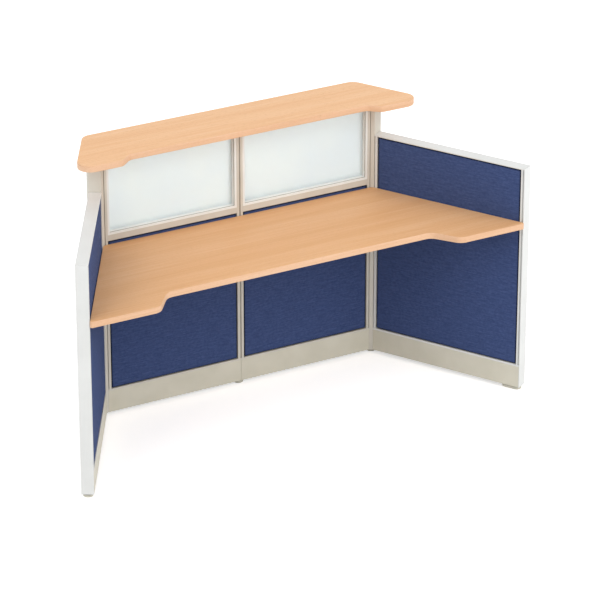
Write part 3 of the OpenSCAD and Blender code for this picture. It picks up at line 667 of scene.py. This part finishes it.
band = {
    "thick": 0.002,
    "arris": 0.0016,            # radius of the trimmed edges
    "arrisSteps": 6,
    "arcSteps": 24,             # of every rounded bend of an outline
}
worktopPlan = {
    "gap": 0.001,               # between the board and the panels
    "wing": 0.6391,             # front edge of the wings, from the wall's centre line
    "recess": 0.536,            # front edge of the recessed middle
    "recessHalf": 0.585,        # where the step between both ends, from the desk's middle
    "wingHalf": 0.663,          # and where it starts
    "recessRadius": 0.050,      # of the step's bends
    "cornerRadius": 0.008,      # of the wings' corners
}
counterPlan = {
    "far": 0.139,               # far edge, from the wall's centre line
    "near": 0.159,              # near edge of the ends
    "middle": 0.116,            # near edge of the recessed middle
    "half": 0.6095,             # half of the far edge's length
    "recessHalf": 0.527,        # where the step ends, from the desk's middle
    "wingHalf": 0.576,          # and where it starts
    "recessRadius": 0.036,      # of the step's bends
    "cornerRadius": 0.052,      # of the ends' corners
}


def crossing(a, u, b, v):
    # where the line through a along u meets the line through b along v
    a, u, b, v = (np.array(w, float) for w in (a, u, b, v))
    return a + u * ((b - a)[0] * v[1] - (b - a)[1] * v[0]) / (u[0] * v[1] - u[1] * v[0])


def roundOutline(corners, radii, steps):
    # every corner with a radius becomes an arc that touches both of its edges
    rounded = []
    for k, radius in enumerate(radii):
        before, here, after = corners[k - 1], corners[k], corners[(k + 1) % len(corners)]
        if not radius:
            rounded.append([here])
            continue
        u = (before - here) / np.linalg.norm(before - here)
        v = (after - here) / np.linalg.norm(after - here)
        halfAngle = math.acos(float(u @ v)) / 2
        centre = here + (u + v) / np.linalg.norm(u + v) * radius / math.sin(halfAngle)
        start = here + u * radius / math.tan(halfAngle) - centre
        end = here + v * radius / math.tan(halfAngle) - centre
        first = math.degrees(math.atan2(start[1], start[0]))
        # the shorter way round, between -180 and 180 degrees
        sweep = (math.degrees(math.atan2(end[1], end[0])) - first + 540) % 360 - 180
        rounded.append(arc(centre, radius, first, first + sweep, steps))
    return np.vstack(rounded)


def bothHalves(right, radii, steps):
    # the corners of the right half, from the far edge to the near one, and their mirror images
    right = np.array(right, float)
    left = right[::-1] * (-1, 1)
    return roundOutline(np.vstack([right, left]), radii + radii[::-1], steps)


sideAlong = np.array([math.cos(plan["splay"]), -math.sin(plan["splay"])])
sideOut = np.array([math.sin(plan["splay"]), math.cos(plan["splay"])])
halfTurn = plan["splay"] / 2
chordAlong = np.array([math.cos(halfTurn), -math.sin(halfTurn)])
chordOut = np.array([math.sin(halfTurn), math.cos(halfTurn)])


def worktopOutline(s):
    # along the wall, across the corner post, along the side panel and round the wavy front
    corner = np.array([plan["corner"], 0.0])
    inset = plan["halfThick"] + s["gap"]
    chord = np.array([plan["wallEnd"], -plan["halfThick"]]) - chordOut * s["gap"]
    beside = corner - sideOut * inset
    right = [crossing((0, -inset), (1, 0), chord, chordAlong),
             crossing(chord, chordAlong, beside, sideAlong),
             crossing(beside, sideAlong, (0, -s["wing"]), (1, 0)),
             (s["wingHalf"], -s["wing"]), (s["recessHalf"], -s["recess"])]
    return bothHalves(right, [0, 0, s["cornerRadius"], s["recessRadius"], s["recessRadius"]],
                      band["arcSteps"])


def counterOutline(s):
    right = [(s["half"], s["far"]),
             crossing((s["half"], s["far"]), sideAlong, (0, -s["near"]), (1, 0)),
             (s["wingHalf"], -s["near"]), (s["recessHalf"], -s["middle"])]
    return bothHalves(right, [s["cornerRadius"]] * 2 + [s["recessRadius"]] * 2,
                      band["arcSteps"])


def makeBand(name, outline, s):
    # the band's section has both outer arrises rounded, and is swept round the board
    low, top = (corner[2] for corner in cornersOf(cadPoints(name)))
    r = s["arris"]
    profile = np.vstack([[[s["thick"], low]],
                         arc((r, low + r), r, 270, 180, s["arrisSteps"]),
                         arc((r, top - r), r, 180, 90, s["arrisSteps"]),
                         [[s["thick"], top]]])
    loop, uv = sweepLoop(outline + (0, plan["middle"]), profile)
    rows, columns = loop.shape[:2]
    meshPiece(name + "_band", loop.reshape(-1, 3),
              gridFaces(rows, columns, closeRows=True, closeColumns=True), shadedBeechBand, "desk",
              uv.reshape(-1, 2), name)


makeBand("worktop_edging", worktopOutline(worktopPlan), band)
makeBand("counter_edging", counterOutline(counterPlan), band)
print("edge bands are made")

# Screws

screw = {
    "shank": 0.0020,            # radius over the thread
    "core": 0.0015,             # radius between the threads
    "pitch": 0.0016,
    "head": 0.0040,             # radius of the pan head
    "headHeight": 0.0025,
    "rim": 0.0009,              # height of the head's straight side
    "centre": 0.00005,          # radius of the head's innermost ring
    "crossHalf": 0.0005,        # half width of the cross recess
    "crossReach": 0.0025,
    "crossDepth": 0.0013,
    "sideRun": 0.00006,         # over which the recess falls at its sides
    "endRun": 0.00008,          # and at its ends
    "columns": 48,
    "headRows": 22,
    "rowsPerPitch": 6,
    "tip": 0.0025,              # height of the pointed end
    "tipRadius": 0.0002,
}
bracket = {
    "armX": 0.012,              # of the arm's screws from the bracket's middle
    "armY": 0.200,              # of the arm's screws from the face of the panel
    "armThick": 0.003,          # thickness of the arm and the back
    "backX": 0.0075,            # of the back's screws from the bracket's middle
    "backDrop": 0.035,          # of the back's screws from the worktop's underside
    "plateX": 0.015,            # of the rail screws from a counter bracket's middle
    "plateY": 0.080,            # of the counter screws from the wall's centre line
    "sink": 0.003,              # depth of a rail screw's seat in the plate
    "longScrew": 0.017,         # length of the shank
    "railScrew": 0.0115,
}


def screwSurface(length, s):
    # radius and height follow one profile from the middle of the head to the tip; the head
    # is the dome -(rim + (h - rim) sqrt(1 - (r / R)^2)), sunk by the cross recess, whose depth
    # is d / (1 + exp((min(|x|, |y|) - half) / side run)) / (1 + exp((r - reach) / end run))
    angle = np.linspace(0, 2 * math.pi, s["columns"], endpoint=False)[None, :]
    r = np.linspace(s["centre"], s["head"], s["headRows"])[:, None]
    dome = -(s["rim"] + (s["headHeight"] - s["rim"]) * np.sqrt(np.maximum(
        1 - (r / s["head"]) ** 2, 0)))
    x, y = r * np.cos(angle), r * np.sin(angle)
    near = np.minimum(np.abs(x), np.abs(y))
    sunk = (1 / (1 + np.exp((near - s["crossHalf"]) / s["sideRun"]))
            / (1 + np.exp((r - s["crossReach"]) / s["endRun"])))
    z = np.arange(0.0, length - s["tip"], s["pitch"] / s["rowsPerPitch"])[1:, None]
    shankR = threadRadius(z, angle, s["core"], s["shank"], s["pitch"])

    def ring(radius, height):
        return np.full_like(angle, radius), np.full_like(angle, height)

    rows = [(np.broadcast_to(r, x.shape), dome + s["crossDepth"] * sunk),
            ring(s["head"], 0.0), ring(s["shank"], 0.0),
            (shankR, np.broadcast_to(z, shankR.shape)),
            ring(s["core"], length - s["tip"]), ring(s["tipRadius"], length)]
    radius, height = (np.vstack(part) for part in zip(*rows))
    return np.stack([radius * np.cos(angle), radius * np.sin(angle), height], axis=-1)


def makeScrews(name, length, places, s):
    # places hold a head's seat and the direction in which its shank points
    surface = screwSurface(length, s)
    rows, columns = surface.shape[:2]
    faces = cappedFaces(rows, columns)
    allPoints, allFaces = [], []
    for seat, direction in places:
        z = np.array(direction, float)
        # any axis at right angles to the shank will do
        x = np.array([1.0, 0.0, 0.0]) if z[2] else np.cross((0.0, 0.0, 1.0), z)
        turned = np.stack([x, np.cross(z, x), z])
        start = len(allPoints) * rows * columns
        allPoints.append(surface.reshape(-1, 3) @ turned + np.array(seat))
        allFaces += [[start + v for v in face] for face in faces]
    meshPiece(name + "_turned", np.vstack(allPoints), allFaces, zinc, "desk",
              replaced=name)


def seatOn(panel, hand, along, depth, height):
    # the place of a screw's head, measured along and across its panel
    return onPanel(panel, hand, np.array([along, depth, height], float))


up, down = (0, 0, 1), (0, 0, -1)
bracketPlaces, railPlaces = [], []
for name, panel, hand in (("middle", "wall", 1), ("left", "side", -1), ("right", "side", 1)):
    # two screws go up through the bracket's arm, and two through its back into the panel
    low, high = panelBox(name + "_worktop_bracket", panel, hand)
    along = (low[0] + high[0]) / 2
    turn = plan["splay"] if panel == "side" else 0.0
    into = (hand * math.sin(turn), math.cos(turn), 0.0)
    armDepth, armLevel = high[1] - bracket["armY"], high[2] - bracket["armThick"]
    backDepth, backLevel = high[1] - bracket["armThick"], high[2] - bracket["backDrop"]
    for sign in (-1, 1):
        arm = seatOn(panel, hand, along + sign * bracket["armX"], armDepth, armLevel)
        back = seatOn(panel, hand, along + sign * bracket["backX"], backDepth, backLevel)
        bracketPlaces += [(arm, up), (back, into)]
for handName, hand in hands:
    # two screws go up into the counter, and two down into the wall's top rail
    low, high = panelBox(handName + "_counter_bracket", "wall", hand)
    along = (low[0] + high[0]) / 2
    for sign in (-1, 1):
        plate = seatOn("wall", hand, along, sign * bracket["plateY"], low[2])
        rail = seatOn("wall", hand, along + sign * bracket["plateX"], 0, high[2] - bracket["sink"])
        bracketPlaces.append((plate, up))
        railPlaces.append((rail, down))
makeScrews("bracket_screws", bracket["longScrew"], bracketPlaces, screw)
makeScrews("rail_screws", bracket["railScrew"], railPlaces, screw)
print("screws are made")

# Levelling feet

foot = {
    "disc": 0.019,              # radius of a round foot
    "glide": 0.01975,           # half width of the oblong glide of an end foot
    "glideHalf": 0.02225,       # from its middle to the centre of its round end
    "discHeight": 0.012,
    "centre": 0.0002,           # radius of the innermost ring of the underside
    "bottomRound": 0.0012,
    "dome": 0.0022,             # height of the domed shoulder
    "arcSteps": 7,              # of the rounded bottom and of the shoulder
    "stud": 0.0040,             # radius over the thread
    "core": 0.0034,             # radius between the threads
    "pitch": 0.0020,            # a coarse M8, so that the thread shows
    "rowsPerPitch": 6,
    "top": 0.100,
    "tip": 0.75,                # share of the radius that is left at the stud's top
    "tipTurns": 2,              # turns of the thread over which it tapers
    "columns": 144,
    "ribs": 24,                 # finger grips round the disc
    "ribDepth": 0.0006,
    "endInset": 0.045,          # of an end foot from the panel's free end
}


def makeFoot(name, x, y, turn, half, size, s):
    # polar rows over the angle: the rim of a stadium that reaches size beside its axis and
    # half + size along it is size / |sin a| where that lies on its straight side, and else
    # half |cos a| + sqrt(size^2 - (half sin a)^2). A round foot's rim has finger grips,
    # d (1 + cos(n a)) / 2 deep. A quarter ellipse leads to the stud, which tapers at its top
    angle = np.linspace(0, 2 * math.pi, s["columns"], endpoint=False)[None, :]
    sine, cosine = np.abs(np.sin(angle)), np.abs(np.cos(angle))
    straight = size / np.maximum(sine, 1e-9)    # never a division by zero
    rounded = half * cosine + np.sqrt(np.maximum(size ** 2 - (half * sine) ** 2, 0))
    rim = np.where(straight * cosine < half, straight, rounded)
    grip = 0 if half else s["ribDepth"] * (1 + np.cos(s["ribs"] * angle)) / 2
    t = np.linspace(0, math.pi / 2, s["arcSteps"])[:, None]
    lowR = rim - grip - s["bottomRound"] * (1 - np.sin(t))
    lowZ = s["bottomRound"] * (1 - np.cos(t))
    domeR = s["stud"] + (rim - grip - s["stud"]) * np.cos(t)
    domeZ = s["discHeight"] - s["dome"] * (1 - np.sin(t))
    z = np.arange(s["discHeight"], s["top"], s["pitch"] / s["rowsPerPitch"])[1:, None]
    taper = np.clip((s["top"] - z) / (s["tipTurns"] * s["pitch"]), 0, 1)
    studR = (threadRadius(z, angle, s["core"], s["stud"], s["pitch"])
             * (s["tip"] + (1 - s["tip"]) * taper))
    radius = np.vstack([np.full_like(angle, s["centre"]), lowR, domeR, studR])
    height = np.broadcast_to(np.vstack([[[0.0]], lowZ, domeZ, z]), radius.shape)
    points = np.stack([x + radius * np.cos(angle + turn),
                       plan["middle"] + y + radius * np.sin(angle + turn), height], axis=-1)
    rows, columns = points.shape[:2]
    faces = cappedFaces(rows, columns)
    meshPiece(name + "_threaded", points.reshape(-1, 3), faces, nylon, name,
              replaced=name)


makeFoot("middle_foot", 0.0, 0.0, 0.0, 0.0, foot["disc"], foot)
endAt = panelBox("right_end_cover", "side", 1)[1][0] - foot["endInset"]
for handName, hand in hands:
    makeFoot(f"{handName}_corner_foot", hand * plan["corner"], 0.0, 0.0, 0.0, foot["disc"], foot)
    makeFoot(f"{handName}_end_foot", hand * (plan["corner"] + sideAlong[0] * endAt),
             sideAlong[1] * endAt, -hand * plan["splay"], foot["glideHalf"], foot["glide"], foot)
print("levelling feet are made")

# Finishes of the CAD nodes that stay

def ending(*ends):
    return [n for n in nodes if n.endswith(ends)]


# the wall's frame and the posts take the copy of the frame paint that has shade painted in
framed = ending("_upright", "_rail", "_post", "_cover")
unshadedFrames = [n for n in framed if n.startswith("side_") or n.endswith(("_cover", "_top_rail"))]
paint([n for n in framed if n not in unshadedFrames], shadedFramePaint)
paint(unshadedFrames, framePaint)
paint(["counter"], beech)
# the worktop and the edge bands take the copies of the beech with painted shade
paint(["worktop"], shadedWorktopBeech)
paint(ending("_edging"), shadedBeechBand)
paint(ending("_tile"), fabric)
paint(ending("_bead"), beadPaint)
paint(ending("_pane"), glass)
paint(ending("_kick_plate"), kickPaint)
paint(ending("_bracket"), steelPaint)
paint(ending("_foot"), nylon)
paint(ending("_screws", "_strips"), zinc)
print("the CAD nodes have their finishes")

low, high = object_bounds()
